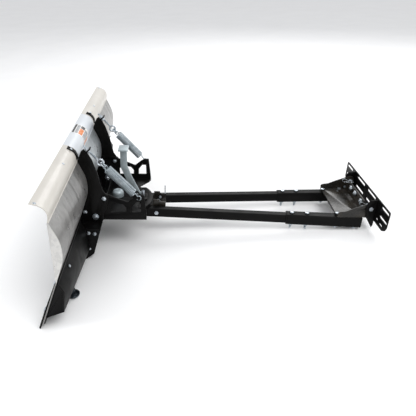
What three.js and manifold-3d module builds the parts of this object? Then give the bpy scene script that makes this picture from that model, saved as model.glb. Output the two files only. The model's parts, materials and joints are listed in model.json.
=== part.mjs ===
// ATV plow blade: a 50-inch blade on a trip cradle, a swivelling frame of two push tubes and a hinged mount.
// Millimetres. The plow is drawn level: X runs rearwards from the blade to the mount plate, Y across the
// blade and Z up, with Z = 0 near the centreline of the push tubes. The last group tips it back by a few
// degrees until it stands on its wear bar and rear bolts, with the origin under the middle of its box.
import * as THREE from "three";
import { mergeVertices } from "three/addons/utils/BufferGeometryUtils.js";
import Module from "manifold-3d";

const wasm = await Module();
wasm.setup();

// ---- Driving dimensions ----
const HALF_WIDTH = 635;
const SHEET = 3;
const GAP = 0.4;
const SEAM_Y = 182;

const BLADE_TOP = [-135, 349];
const FLAP_PULL = [-72, 340];
const CREASE = [-89, 285];
const BELLY = [[-66, 232], [-59, 190], [-62, 150], [-75, 110], [-90, 66]];
const SLOPE_TOP = [-98, 45];
const SLOPE_END = [-153, -106];
const WEAR_BAR = { top: 104, bottom: 181, thick: 6 };

const RIB = { y: 187, half: 3 };
const FOOT = { inner: 190.4, outer: 250, wall: 5 };
const CHANNEL_WALL = 4;
const CHANNEL_REAR = { inner: [-58, -60], outer: [-80, -55] };
const SHOE = { x: -88, y: 474, radius: 24, stud: 6 };

const SIDE = { y: 180, half: 3 };
const PIVOT = [-38, 47];
const STOP = [0, 131];
const TRIP_DEG = 24;
const PIVOT_BOLT = 6.5;
const STOP_BOLT = 5;

const KINGPIN = { x: 30, radius: 10, cap: 24 };
const SECTOR = { front: -10, radius: 150, half: 96, bottom: 29.7, top: 35.7, lip: 20.4 };
const PAN = { bottom: 36, top: 41, half: 176.6 };
const LOCK = { x: 138, radius: 7.6, stepsDeg: [-30, -15, 0, 15, 30] };
const LEVER = { pivot: [112, 57], half: 14, thick: 3 };

const SPRING_HOOK = [135, 131];
const SPRING_EYE = [-4, 282];
const RIB_LUG = [-46, 330];
const COIL = { start: 28, end: 170, radius: 18, bore: 13 };
const EYE = { ring: 12, wire: 4, link: 11, linkWire: 3, play: 2 };

const ARM = { yAtZero: 48.1, splay: 0.068, droop: 0.0085, levelAt: 200 };
const TUBE = { half: 16, rise: 19.5, wall: 3, front: 157, rear: 930 };
const SLEEVE = { half: 19, rise: 24, wall: 2.4, front: 760, rear: 1087 };
const NOSE = { half: 41.5, wall: 5, front: 12, rear: 166, top: 29.3, bottom: -34 };
const NOSE_BOLT = [200, 3];
const FRAME_BOLT = 5;
const BOLT_END = -45;
const SLEEVE_BOLT_END = -57;
const SLEEVE_BOLTS_X = [784, 850];
const BRACKET_BOLTS_X = [980, 1062];

const WEB = { bottom: 18.4, top: 23.4, back: 62, front: 972, rear: 1097, half: 137.5, wall: 5 };
const BOLT_TAB = { half: 98, top: 80 };
const HITCH = { x: 1108, z: 65, pin: 6, lug: 22 };
const PLATE = { x: 1133.5, thick: 5, half: 257, top: 109, bottom: 6 };
const EAR = { inner: 139, outer: 144 };
const SLOT_ROWS_Z = [95, 53];
const SLOTS = [{ y: 64, reach: 41 }, { y: 216, reach: 30 }];

const MIDDLE_X = 483.86;

// ---- Colours ----
const PAINT = {
  cream: new THREE.MeshStandardMaterial({ color: 0xd6d1c7, roughness: 0.45, metalness: 0.1 }),
  steel: new THREE.MeshStandardMaterial({ color: 0xa3a5a6, roughness: 0.4, metalness: 0.8 }),
  black: new THREE.MeshStandardMaterial({ color: 0x111112, roughness: 0.35, metalness: 0.2 }),
  zinc: new THREE.MeshStandardMaterial({ color: 0xb4bfc4, roughness: 0.3, metalness: 0.9 }),
};

// ---- Solids ----
function solid(geometry) {
  const bare = geometry.clone();
  bare.deleteAttribute("normal");
  bare.deleteAttribute("uv");
  const merged = mergeVertices(bare, 1e-4);
  return new wasm.Manifold(
    new wasm.Mesh({
      numProp: 3,
      vertProperties: merged.attributes.position.array,
      triVerts: new Uint32Array(merged.index.array),
    }),
  );
}

const join = (...pieces) => pieces.reduce((sum, piece) => sum.add(piece));
const cut = (body, ...tools) => tools.reduce((rest, tool) => rest.subtract(tool), body);

function toGeometry(body) {
  const mesh = body.getMesh();
  const count = mesh.vertProperties.length / mesh.numProp;
  const positions = new Float32Array(count * 3);
  for (let i = 0; i < count; i++) {
    positions.set(mesh.vertProperties.subarray(i * mesh.numProp, i * mesh.numProp + 3), i * 3);
  }
  const geometry = new THREE.BufferGeometry();
  geometry.setAttribute("position", new THREE.BufferAttribute(positions, 3));
  geometry.setIndex(new THREE.BufferAttribute(mesh.triVerts.slice(), 1));
  geometry.computeVertexNormals();
  return geometry;
}

// A flat plate between two levels of its own normal, drilled through by its holes and laid down by `turn`.
function slab(outline, low, high, holes, turn) {
  const prism = (ring, from, to) => {
    const shape = new THREE.Shape(vectors(ring));
    const geometry = new THREE.ExtrudeGeometry(shape, { depth: to - from, bevelEnabled: false });
    return solid(geometry.translate(0, 0, from).applyMatrix4(turn));
  };
  return cut(prism(outline, low, high), ...holes.map((hole) => prism(hole, low - 1, high + 1)));
}

function axes(...directions) {
  return new THREE.Matrix4().makeBasis(...directions.map((direction) => new THREE.Vector3(...direction)));
}

// A plate whose outline lies in the XZ plane, between two places on Y in either order.
function acrossY(outline, y0, y1, holes = []) {
  const turn = axes([1, 0, 0], [0, 0, 1], [0, -1, 0]);
  return slab(outline, -Math.max(y0, y1), -Math.min(y0, y1), holes, turn);
}

// A plate whose outline lies in the XY plane, from z0 up to z1.
function upZ(outline, z0, z1, holes = []) {
  return slab(outline, z0, z1, holes, new THREE.Matrix4());
}

// A plate whose outline lies in the YZ plane, from x0 to x1.
function alongX(outline, x0, x1, holes = []) {
  return slab(outline, x0, x1, holes, axes([0, 1, 0], [0, 0, 1], [1, 0, 0]));
}

function box(low, high) {
  const size = high.map((value, i) => value - low[i]);
  const middle = high.map((value, i) => (value + low[i]) / 2);
  return solid(new THREE.BoxGeometry(...size).translate(...middle));
}

// A round bar between two points; six sides make a hexagon.
function bar(from, to, radius, sides = 12, radiusTo = radius) {
  const start = new THREE.Vector3(...from);
  const end = new THREE.Vector3(...to);
  const along = end.clone().sub(start);
  const geometry = new THREE.CylinderGeometry(radiusTo, radius, along.length(), sides);
  const turn = new THREE.Quaternion().setFromUnitVectors(new THREE.Vector3(0, 1, 0), along.normalize());
  geometry.applyQuaternion(turn);
  geometry.translate(...start.add(end).multiplyScalar(0.5).toArray());
  return solid(geometry);
}

// A hexagon bolt with washers: the head sits on `from`, the nut on `to`, and the thread runs on by `tail`.
function bolt(from, to, radius, tail) {
  const start = new THREE.Vector3(...from);
  const end = new THREE.Vector3(...to);
  const along = end.clone().sub(start).normalize();
  const at = (origin, distance) => origin.clone().addScaledVector(along, distance).toArray();
  const hexagon = radius * 1.85;
  return join(
    bar(at(start, -radius * 1.3), at(end, tail), radius, 8),
    bar(at(start, -radius * 1.3), at(start, -1.8), hexagon, 6),
    bar(at(start, -2), at(start, -GAP), radius * 1.95, 10),
    bar(at(end, GAP), at(end, 2), radius * 1.95, 10),
    bar(at(end, 1.8), at(end, 1.8 + radius * 1.6), hexagon, 6),
  );
}

// ---- Outlines ----
const vectors = (points) => points.map(([u, v]) => new THREE.Vector2(u, v));
const pairs = (list) => list.map((point) => [point.x, point.y]);

// The back face of the moldboard from its rolled top edge down, as [x, z] points.
function bellyCurve() {
  return pairs(new THREE.SplineCurve(vectors([CREASE, ...BELLY, SLOPE_TOP])).getPoints(12));
}

function flapCurve(steps) {
  const flap = new THREE.QuadraticBezierCurve(...vectors([BLADE_TOP, FLAP_PULL, CREASE]));
  return pairs(flap.getPoints(steps));
}

// The same run of points pushed sideways: positive distances lie to the left of the way the points run.
function offset(points, distance) {
  const list = vectors(points);
  const headings = list.slice(1).map((point, i) => point.clone().sub(list[i]).normalize());
  return list.map((point, i) => {
    const before = headings[Math.max(i - 1, 0)];
    const after = headings[Math.min(i, headings.length - 1)];
    const normal = new THREE.Vector2(-before.y - after.y, before.x + after.x).normalize();
    const square = Math.max(normal.dot(new THREE.Vector2(-after.y, after.x)), 0.6);
    return point.clone().addScaledVector(normal, distance / square).toArray();
  });
}

// A bent plate seen from its edge: the run of points given the thickness between two offsets.
const strip = (points, near, far) => [...offset(points, near), ...offset(points, far).reverse()];

// A point on the straight lower slope of the moldboard: `down` along it and `back` off its rear face.
function onSlope(down, back) {
  const along = new THREE.Vector2(...SLOPE_END).sub(new THREE.Vector2(...SLOPE_TOP)).normalize();
  const rear = new THREE.Vector2(-along.y, along.x);
  return new THREE.Vector2(...SLOPE_TOP).addScaledVector(along, down).addScaledVector(rear, back).toArray();
}

function arc([cu, cv], radius, fromDeg, toDeg, steps) {
  return Array.from({ length: steps + 1 }, (_, i) => {
    const angle = THREE.MathUtils.degToRad(fromDeg + ((toDeg - fromDeg) * i) / steps);
    return [cu + radius * Math.cos(angle), cv + radius * Math.sin(angle)];
  });
}

const circle = (centre, radius, steps = 12) => arc(centre, radius, 0, 360, steps).slice(0, -1);

// A slot with round ends between two points.
function slot([u0, v0], [u1, v1], half) {
  const turn = THREE.MathUtils.radToDeg(Math.atan2(v1 - v0, u1 - u0));
  const ahead = arc([u1, v1], half, turn - 90, turn + 90, 4);
  return [...ahead, ...arc([u0, v0], half, turn + 90, turn + 270, 4)];
}

// A curved slot round a centre, with round ends.
function arcSlot(centre, radius, half, fromDeg, toDeg) {
  const end = (deg) => arc(centre, radius, deg, deg, 1)[0];
  return [
    ...arc(centre, radius + half, fromDeg, toDeg, 4),
    ...arc(end(toDeg), half, toDeg, toDeg + 180, 4).slice(1, -1),
    ...arc(centre, radius - half, toDeg, fromDeg, 4),
    ...arc(end(fromDeg), half, fromDeg + 180, fromDeg + 360, 4).slice(1, -1),
  ];
}

const distance = (a, b) => Math.hypot(a[0] - b[0], a[1] - b[1]);
const inPlane = ([x, z], y) => [x, y, z];

function toDegrees(point, centre) {
  return THREE.MathUtils.radToDeg(Math.atan2(point[1] - centre[1], point[0] - centre[0]));
}

// The point that lies `reach` along the way from `start` to `end`.
function between(start, end, reach) {
  return start.map((value, i) => value + ((end[i] - value) * reach) / distance(start, end));
}

// ---- Scene graph ----
const level = new THREE.Group();
const SIDES = [["near", -1], ["far", 1]];

function place(name, body, paint, parent = level) {
  const mesh = new THREE.Mesh(toGeometry(body), PAINT[paint]);
  mesh.name = name;
  parent.add(mesh);
}

// ---- Blade ----
function moldboard() {
  const sheet = strip([...flapCurve(6), ...bellyCurve().slice(1), SLOPE_END], 0, -SHEET);
  place("moldboard_center", acrossY(sheet, -SEAM_Y, SEAM_Y), "steel");
  SIDES.forEach(([end, side]) => {
    const outer = side * (HALF_WIDTH - SHEET - GAP);
    place(`moldboard_${end}`, acrossY(sheet, side * (SEAM_Y + GAP), outer), "steel");
  });
}

// The crescent that closes the hollow front of the moldboard at each end.
function endPlate(side) {
  const chord = CREASE[0] - 3;
  const low = SLOPE_TOP[1] + 20;
  const belly = bellyCurve().filter(([, z]) => z > low);
  const outline = [...belly, [chord, low], [chord, CREASE[1]]];
  return acrossY(outline, side * (HALF_WIDTH - SHEET), side * HALF_WIDTH);
}

function wearBar() {
  const back = -SHEET - GAP;
  const front = back - WEAR_BAR.thick;
  const outline = [
    onSlope(WEAR_BAR.top, back),
    onSlope(WEAR_BAR.bottom, back),
    onSlope(WEAR_BAR.bottom - 2, front),
    onSlope(WEAR_BAR.top, front),
  ];
  return acrossY(outline, -HALF_WIDTH, HALF_WIDTH);
}

// A prism between two outlines with the same number of points, each in its own plane across Y.
function loft(first, y0, second, y1) {
  const count = first.length;
  const rings = [first.map((point) => inPlane(point, y0)), second.map((point) => inPlane(point, y1))];
  const positions = rings.flat(2);
  const index = THREE.ShapeUtils.triangulateShape(vectors(first), []).flatMap((corners) => {
    const area = THREE.ShapeUtils.area(vectors(corners.map((i) => first[i])));
    const [a, b, c] = area * THREE.ShapeUtils.area(vectors(first)) > 0 ? corners : corners.toReversed();
    return [a, b, c, c + count, b + count, a + count];
  });
  for (let i = 0; i < count; i++) {
    const next = (i + 1) % count;
    index.push(i, i + count, next, next, i + count, next + count);
  }
  const geometry = new THREE.BufferGeometry();
  geometry.setAttribute("position", new THREE.BufferAttribute(new Float32Array(positions), 3));
  geometry.setIndex(isFacingOut(positions, index) ? index : index.reverse());
  return solid(geometry);
}

// Whether the triangles of a closed surface hold a positive volume.
function isFacingOut(positions, index) {
  const corner = (i) => new THREE.Vector3().fromArray(positions, index[i] * 3);
  let volume = 0;
  for (let i = 0; i < index.length; i += 3) {
    volume += corner(i).dot(corner(i + 1).cross(corner(i + 2)));
  }
  return volume > 0;
}

// The bent sheet that stiffens the lower moldboard, from its top flange down to its lower flange.
function channelRun(rear) {
  const lap = CHANNEL_WALL + 1;
  return [[-79, 82], [-86, 60], [-70, 28], rear, onSlope(131, lap), onSlope(160, lap)];
}

function channelBetween(y0, rear0, y1, rear1) {
  const edge = (rear) => strip(channelRun(rear), 0, -CHANNEL_WALL);
  return loft(edge(rear0), y0, edge(rear1), y1);
}

function centreChannel() {
  const reach = RIB.y - RIB.half - GAP;
  return channelBetween(-reach, CHANNEL_REAR.inner, reach, CHANNEL_REAR.inner);
}

function sideChannel(side) {
  const start = side * (FOOT.outer + GAP);
  const end = side * (HALF_WIDTH - SHEET - GAP);
  const run = offset(channelRun(CHANNEL_REAR.outer), -1);
  const face = [...run, onSlope(158, 1.2), onSlope(1, 1.2), [-88.5, 62]];
  const cap = acrossY(face, end - side * (CHANNEL_WALL + 3), end - side * 3);
  const stud = [SHOE.x, side * SHOE.y];
  return cut(
    join(channelBetween(start, CHANNEL_REAR.inner, end, CHANNEL_REAR.outer), cap),
    bar([...stud, -90], [...stud, -45], SHOE.stud + 1),
  );
}

// The box foot bolted outside each rib, open towards the rib.
function ribFoot(side) {
  const run = [onSlope(21, 1), [-12, 25], [-46, -92], [-78, -117], [-136, -120.5], onSlope(158, 1)];
  const inner = side * FOOT.inner;
  const outer = side * FOOT.outer;
  return join(
    acrossY(strip(run, 0, -FOOT.wall), inner, outer),
    acrossY(run, outer - side * FOOT.wall, outer),
  );
}

// The eye bolt runs from the lug on top of the rib towards the spring.
const rodAt = (s) => between(RIB_LUG, SPRING_EYE, s);

function ribLug(side) {
  const plate = strip([rodAt(-2.5), rodAt(2.5)], 13, -14);
  return cut(
    acrossY(plate, side * (RIB.y - 13), side * (RIB.y + 13)),
    bar(inPlane(rodAt(-9), side * RIB.y), inPlane(rodAt(9), side * RIB.y), EYE.wire + 0.5),
  );
}

function rib(side) {
  const outline = [
    onSlope(118, GAP),
    onSlope(0, GAP),
    ...offset(bellyCurve(), GAP).reverse().slice(1),
    [-83, 300],
    [-71, 326],
    [-62, 334],
    [-50, 322],
    [-34, 291],
    [-19, 241],
    [-11, 195],
    [-4, 165],
    ...arc([3, 134], 14, 70, -10, 5),
    [5, 79],
    [-7, 58],
    [-8, 34],
    [-14, 22],
    [-52, -70],
  ];
  const holes = [circle(PIVOT, PIVOT_BOLT + 0.5), circle(STOP, STOP_BOLT + 0.5)];
  const plate = acrossY(outline, side * (RIB.y - RIB.half), side * (RIB.y + RIB.half), holes);
  return join(plate, ribLug(side));
}

// The slotted strap that ties the rolled top edge of the moldboard down beside each rib.
function anchorStrap(side) {
  const y = side * 203;
  const run = flapCurve(6).slice(1, -1);
  return cut(
    acrossY(strip(run, GAP, GAP + 4), y - 10, y + 10),
    upZ(slot([-122, y], [-102, y], 4.2), 300, 380),
  );
}

function eyeBolt(side) {
  const y = side * RIB.y;
  const at = (s) => inPlane(rodAt(s), y);
  const reach = distance(RIB_LUG, SPRING_EYE) - EYE.ring;
  const ring = new THREE.TorusGeometry(EYE.ring, EYE.wire, 6, 14);
  ring.rotateX(Math.PI / 2).translate(SPRING_EYE[0], y, SPRING_EYE[1]);
  return join(
    bar(at(-24), at(reach), EYE.wire, 10),
    bar(at(-10), at(-2.9), 8, 6),
    bar(at(2.9), at(10), 8, 6),
    solid(ring),
  );
}

// A bolt across Y through a rib and a side plate.
function crossBolt(side, centre, radius) {
  const outer = side * (RIB.y + RIB.half);
  const inner = side * (SIDE.y - SIDE.half);
  return bolt(inPlane(centre, outer), inPlane(centre, inner), radius, 3.2 * radius);
}

const groundFront = onSlope(WEAR_BAR.bottom, -SHEET - GAP);
const groundRear = [BRACKET_BOLTS_X[1] + FRAME_BOLT, BOLT_END];
const groundSlope = (groundRear[1] - groundFront[1]) / (groundRear[0] - groundFront[0]);
const groundAt = (x) => groundFront[1] + (x - groundFront[0]) * groundSlope;

function skidShoe(side) {
  const bottom = groundAt(SHOE.x + SHOE.radius - 5);
  const profile = [
    [0, 0],
    [SHOE.radius - 7, 0],
    [SHOE.radius, 7],
    [SHOE.radius, 11],
    [SHOE.radius - 4, 11],
    [SHOE.radius - 9, 6],
    [SHOE.stud + 4, 8],
    [SHOE.stud + 4, 32],
    [SHOE.stud, 32],
    [SHOE.stud, 88],
    [0, 88],
  ];
  const lathe = new THREE.LatheGeometry(vectors(profile), 12).rotateX(Math.PI / 2);
  return solid(lathe.translate(SHOE.x, side * SHOE.y, bottom));
}

function blade() {
  moldboard();
  place("wear_bar", wearBar(), "black");
  place("lower_channel_center", centreChannel(), "black");
  SIDES.forEach(([end, side]) => {
    place(`end_plate_${end}`, endPlate(side), "steel");
    place(`lower_channel_${end}`, sideChannel(side), "black");
    place(`rib_${end}`, rib(side), "black");
    place(`rib_foot_${end}`, ribFoot(side), "black");
    place(`anchor_strap_${end}`, anchorStrap(side), "black");
    place(`eye_bolt_${end}`, eyeBolt(side), "zinc");
    place(`stop_bolt_${end}`, crossBolt(side, STOP, STOP_BOLT), "zinc");
    place(`skid_shoe_${end}`, skidShoe(side), "zinc");
  });
}

// ---- Trip cradle ----
function sidePlate(side) {
  const reach = distance(STOP, PIVOT);
  const stopDeg = toDegrees(STOP, PIVOT);
  const outline = [
    [163, 29],
    [163, 50],
    [155, 141],
    [137, 141],
    [120, 132],
    [91, 109],
    [61, 122],
    [53, 125],
    ...arc(PIVOT, reach + 17, 62, 100, 8),
    [-58, 118],
    ...arc(PIVOT, 27, 180, 300, 8),
    [-7, 29],
  ];
  const holes = [
    circle(PIVOT, PIVOT_BOLT + 0.5),
    arcSlot(PIVOT, reach, STOP_BOLT + 0.8, stopDeg - 1, stopDeg + TRIP_DEG + 2),
    [[107, 64], [142, 64], [141, 111], [124, 111], [108, 90]],
    [[20, 63], [83, 64], [84, 84], [71, 100], [48, 104], [20, 94]],
  ];
  const outer = side * (SIDE.y + SIDE.half);
  const plate = acrossY(outline, side * (SIDE.y - SIDE.half), outer, holes);
  const stub = bar(inPlane(SPRING_HOOK, outer - side), inPlane(SPRING_HOOK, outer + side * 14), 5);
  return join(plate, stub);
}

const mirrored = (points) => [...points, ...points.map(([x, y]) => [x, -y]).reverse()];

function basePlate() {
  const rear = [[163, PAN.half], [158, 150], [120, 100], [128, 38], [156, 26]];
  const edge = [[-45, 148], [-15, 152], [-15, PAN.half], ...rear];
  return upZ(mirrored(edge), PAN.bottom, PAN.top, [
    circle([KINGPIN.x, 0], KINGPIN.radius + 0.4),
    circle([LOCK.x, 0], LOCK.radius + 0.4),
  ]);
}

function crossBrace() {
  const bottom = PAN.top + GAP;
  const profile = [[-42, bottom], [-9, bottom], [-9, 74], [-14, 74], [-14, 46.4], [-42, 46.4]];
  return acrossY(profile, -146, 146);
}

function leverBracket() {
  const bottom = PAN.top + GAP;
  const base = box([94, -18, bottom], [127, 18, bottom + 3]);
  const lug = [[99, bottom + 2], [125, bottom + 2], ...arc(LEVER.pivot, 11, 0, 180, 8)];
  const lugs = SIDES.map(([, side]) => acrossY(lug, side * 6, side * 10, [circle(LEVER.pivot, 4.6)]));
  return join(base, ...lugs);
}

function lockLever() {
  const spine = [[112, 56], [101, 84], [81, 128], [61, 183], [62, 262]];
  const arm = strip([[144, 57], [LEVER.pivot[0], 57]], 5, -5);
  const hub = acrossY(circle(LEVER.pivot, 11), -LEVER.thick, LEVER.thick);
  const body = join(
    acrossY(strip(spine, LEVER.half, -LEVER.half), -LEVER.thick, LEVER.thick),
    acrossY(arm, -LEVER.thick, LEVER.thick),
    hub,
    box([43, -30, 261], [83, 30, 267]),
  );
  return cut(body, bar([LEVER.pivot[0], -9, LEVER.pivot[1]], [LEVER.pivot[0], 9, LEVER.pivot[1]], 4.6));
}

// The lock plunger, slotted at the top so that the lever's arm reaches through it.
function lockPin() {
  const shank = bar([LOCK.x, 0, PAN.bottom + 0.2], [LOCK.x, 0, 68], LOCK.radius);
  return cut(shank, box([LOCK.x - 12, -LEVER.thick - 0.5, 47], [LOCK.x + 12, LEVER.thick + 0.5, 80]));
}

function kingpin() {
  const top = PAN.top + GAP;
  const web = NOSE.top - NOSE.wall - GAP;
  const profile = [
    [0, web - 16],
    [KINGPIN.radius, web - 16],
    [KINGPIN.radius, web - 12],
    [17, web - 12],
    [17, web],
    [KINGPIN.radius, web],
    [KINGPIN.radius, top],
    [KINGPIN.cap, top],
    ...arc([KINGPIN.cap - 13, top + 16], 13, 0, 90, 5),
    [0, top + 31],
  ];
  const lathe = new THREE.LatheGeometry(vectors(profile), 16).rotateX(Math.PI / 2);
  return solid(lathe.translate(KINGPIN.x, 0, 0));
}

// ---- Trip springs ----
const springAt = (s) => between(SPRING_HOOK, SPRING_EYE, s);

function tripSpring(side) {
  const y = side * RIB.y;
  const at = (s) => inPlane(springAt(s), y);
  const sideways = (s) => inPlane(springAt(s), y + side * (COIL.radius + COIL.bore) * 0.5);
  const coil = cut(
    bar(at(COIL.start), at(COIL.end), COIL.radius),
    bar(at(0), at(COIL.end + 9), COIL.bore),
  );
  const hook = new THREE.TorusGeometry(8.4, 2.3, 5, 12);
  hook.rotateX(Math.PI / 2).translate(...inPlane(SPRING_HOOK, y));
  return join(
    coil,
    solid(hook),
    bar(at(8), at(COIL.start + 4), 2.3, 6),
    bar(at(COIL.start + 2), sideways(COIL.start + 2), 2, 6),
    bar(at(COIL.end - 2), sideways(COIL.end - 2), 2, 6),
    bar(at(COIL.end - 4), at(COIL.end + 3), 2.3, 6),
  );
}

// The ring that joins the front of a spring to its eye bolt.
function springLink(side) {
  const ring = new THREE.TorusGeometry(EYE.link, EYE.linkWire, 6, 14);
  const away = EYE.ring - EYE.wire - EYE.linkWire - EYE.play;
  const centre = springAt(distance(SPRING_HOOK, SPRING_EYE) - away - EYE.link);
  const heading = THREE.MathUtils.degToRad(toDegrees(SPRING_EYE, SPRING_HOOK));
  ring.rotateY(-heading).translate(...inPlane(centre, side * RIB.y));
  return solid(ring);
}

function cradle() {
  place("base_plate", basePlate(), "black");
  place("cross_brace", crossBrace(), "black");
  place("lever_bracket", leverBracket(), "black");
  const pivot = LEVER.pivot;
  place("lever_pivot_bolt", bolt(inPlane(pivot, -10.4), inPlane(pivot, 10.4), 4, 4), "zinc");
  place("lock_lever", lockLever(), "zinc");
  place("lock_pin", lockPin(), "zinc");
  SIDES.forEach(([end, side]) => {
    place(`side_plate_${end}`, sidePlate(side), "black");
    place(`trip_pivot_bolt_${end}`, crossBolt(side, PIVOT, PIVOT_BOLT), "zinc");
    place(`trip_spring_${end}`, tripSpring(side), "zinc");
    place(`spring_link_${end}`, springLink(side), "zinc");
  });
}

// ---- Push frame ----
function sectorPlate() {
  const centre = [KINGPIN.x, 0];
  const reachDeg = THREE.MathUtils.radToDeg(Math.asin(SECTOR.half / SECTOR.radius));
  const rim = arc(centre, SECTOR.radius, -reachDeg, reachDeg, 14);
  const inner = arc(centre, SECTOR.radius - 4, reachDeg, -reachDeg, 14);
  const outline = [[SECTOR.front, -SECTOR.half], ...rim, [SECTOR.front, SECTOR.half]];
  const locks = LOCK.stepsDeg.map((deg) => {
    return circle(arc(centre, LOCK.x - KINGPIN.x, deg, deg, 1)[0], LOCK.radius + 0.4);
  });
  const plate = upZ(outline, SECTOR.bottom, SECTOR.top, [circle(centre, KINGPIN.radius + 0.4), ...locks]);
  return join(plate, upZ([...rim, ...inner], SECTOR.lip, SECTOR.bottom + 1));
}

function noseBracket() {
  const inner = NOSE.half - NOSE.wall;
  const web = upZ(
    mirrored([[NOSE.front, NOSE.half], [NOSE.rear, NOSE.half]]),
    NOSE.top - NOSE.wall,
    NOSE.top,
    [circle([KINGPIN.x, 0], KINGPIN.radius + 0.4), circle([LOCK.x, 0], LOCK.radius + 1.4)],
  );
  const cheek = [
    [NOSE.front, NOSE.top - 1],
    [NOSE.front, 8],
    [60, NOSE.bottom],
    [209, NOSE.bottom],
    [218, -24],
    [237, -12],
    [237, 34],
    [212, 36],
    [209, 45],
    [184, 45],
    [184, SECTOR.lip - 1],
    [NOSE.rear, SECTOR.lip - 1],
    [NOSE.rear, NOSE.top - 1],
  ];
  const bolts = [circle([NOSE_BOLT[0] + 1, NOSE_BOLT[1]], FRAME_BOLT + 1.4)];
  const cheeks = SIDES.map(([, side]) => acrossY(cheek, side * inner, side * NOSE.half, bolts));
  return join(web, ...cheeks);
}

// A rectangular hollow section along X, drilled upright at each of the given places.
function boxTube({ half, rise, wall, front, rear }, drilledAt) {
  const ring = (y, z) => [[-y, -z], [y, -z], [y, z], [-y, z]];
  const tube = alongX(ring(half, rise), front, rear, [ring(half - wall, rise - wall)]);
  const drills = drilledAt.map((x) => bar([x, 0, -rise - 5], [x, 0, rise + 5], FRAME_BOLT + 0.8, 10));
  return cut(tube, ...drills);
}

// How high the middle of a push tube lies at a place along it: the arms sink slightly to the rear.
const armHeight = (x) => (ARM.levelAt - x) * ARM.droop;

function uprightBolt(x, top, bottom, end) {
  return bolt([x, 0, top], [x, 0, bottom], FRAME_BOLT, bottom - end);
}

// One arm of the A-frame in its own group, splayed outwards to the rear.
function arm(end, side) {
  const group = new THREE.Group();
  group.position.y = side * ARM.yAtZero;
  group.rotation.z = side * Math.atan(ARM.splay);
  level.add(group);
  const beam = new THREE.Group();
  beam.position.z = armHeight(0);
  beam.rotation.y = ARM.droop;
  group.add(beam);
  const [noseX, noseZ] = NOSE_BOLT;
  const drill = bar([noseX, -30, noseZ], [noseX, 30, noseZ], FRAME_BOLT + 0.5, 10);
  place(`push_tube_${end}`, cut(boxTube(TUBE, SLEEVE_BOLTS_X), drill), "black", beam);
  const sleeveDrills = [...SLEEVE_BOLTS_X, ...BRACKET_BOLTS_X];
  place(`sleeve_tube_${end}`, boxTube(SLEEVE, sleeveDrills), "black", beam);
  const outer = [noseX, side * TUBE.half, noseZ];
  const inner = [noseX, -side * (TUBE.half + 10.2), noseZ];
  place(`nose_bolt_${end}`, bolt(outer, inner, FRAME_BOLT, 12), "zinc", group);
  SLEEVE_BOLTS_X.forEach((x, i) => {
    const middle = armHeight(x);
    const through = uprightBolt(x, middle + SLEEVE.rise, middle - SLEEVE.rise, SLEEVE_BOLT_END);
    place(`sleeve_bolt_${end}_${i + 1}`, through, "zinc", group);
  });
  BRACKET_BOLTS_X.forEach((x, i) => {
    const through = uprightBolt(x, WEB.top, armHeight(x) - SLEEVE.rise, BOLT_END);
    place(`bracket_bolt_${end}_${i + 1}`, through, "zinc", group);
  });
}

// Where an arm's centreline meets X when its length is measured along the arm.
function onArm(x, side) {
  const turn = side * Math.atan(ARM.splay);
  return [x * Math.cos(turn), side * ARM.yAtZero + x * Math.sin(turn)];
}

function rearBracket() {
  const drills = BRACKET_BOLTS_X.flatMap((x) => {
    return SIDES.map(([, side]) => circle(onArm(x, side), FRAME_BOLT + 0.6, 10));
  });
  const web = upZ(
    mirrored([[WEB.front, WEB.half - 3], [WEB.front + 6, WEB.half], [WEB.rear, WEB.half]]),
    WEB.bottom,
    WEB.top,
    drills,
  );
  const front = WEB.rear - WEB.wall;
  const back = box([front, -WEB.half, WEB.bottom], [WEB.rear, WEB.half, WEB.back]);
  const tab = box([front, -BOLT_TAB.half, WEB.bottom], [WEB.rear, BOLT_TAB.half, BOLT_TAB.top]);
  const hitch = [HITCH.x, HITCH.z];
  const cheek = [
    [WEB.front + 2, WEB.bottom],
    [WEB.front, 38],
    [WEB.front + 10, 44],
    [WEB.front + 34, 47],
    [1042, 63],
    ...arc(hitch, HITCH.lug, 110, -30, 10),
    [1116, WEB.bottom],
  ];
  const cheeks = SIDES.map(([, side]) =>
    acrossY(cheek, side * (WEB.half - WEB.wall), side * WEB.half, [circle(hitch, HITCH.pin + 0.4)]),
  );
  return join(web, back, tab, ...cheeks);
}

function pushFrame() {
  place("kingpin", kingpin(), "zinc");
  place("sector_plate", sectorPlate(), "black");
  place("nose_bracket", noseBracket(), "black");
  SIDES.forEach(([end, side]) => arm(end, side));
  place("rear_bracket", rearBracket(), "black");
}

// ---- Mount ----
function mountPlate() {
  const edge = [[PLATE.half, PLATE.top], [PLATE.half, 38], [247, 18], [224, PLATE.bottom]];
  const outline = [...edge, ...edge.map(([y, z]) => [-y, z]).reverse()];
  const slots = SLOT_ROWS_Z.flatMap((z) =>
    SIDES.flatMap(([, side]) =>
      SLOTS.map(({ y, reach }) => slot([side * y - reach, z], [side * y + reach, z], 6)),
    ),
  );
  const small = SIDES.flatMap(([, side]) => [
    slot([side * 194, 23], [side * 216, 23], 4.5),
    slot([side * 157, 27], [side * 168, 27], 4.5),
  ]);
  return alongX(outline, PLATE.x, PLATE.x + PLATE.thick, [...slots, ...small]);
}

function mountEar(side) {
  const back = PLATE.x - GAP;
  const front = [[1099, 104], [1088, 84], [1090, 50], [1096, 22], [1128, -27]];
  const outline = [[back, 107], ...front, [back, -12]];
  const hole = circle([HITCH.x, HITCH.z], HITCH.pin + 0.4);
  return acrossY(outline, side * EAR.inner, side * EAR.outer, [hole]);
}

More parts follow.
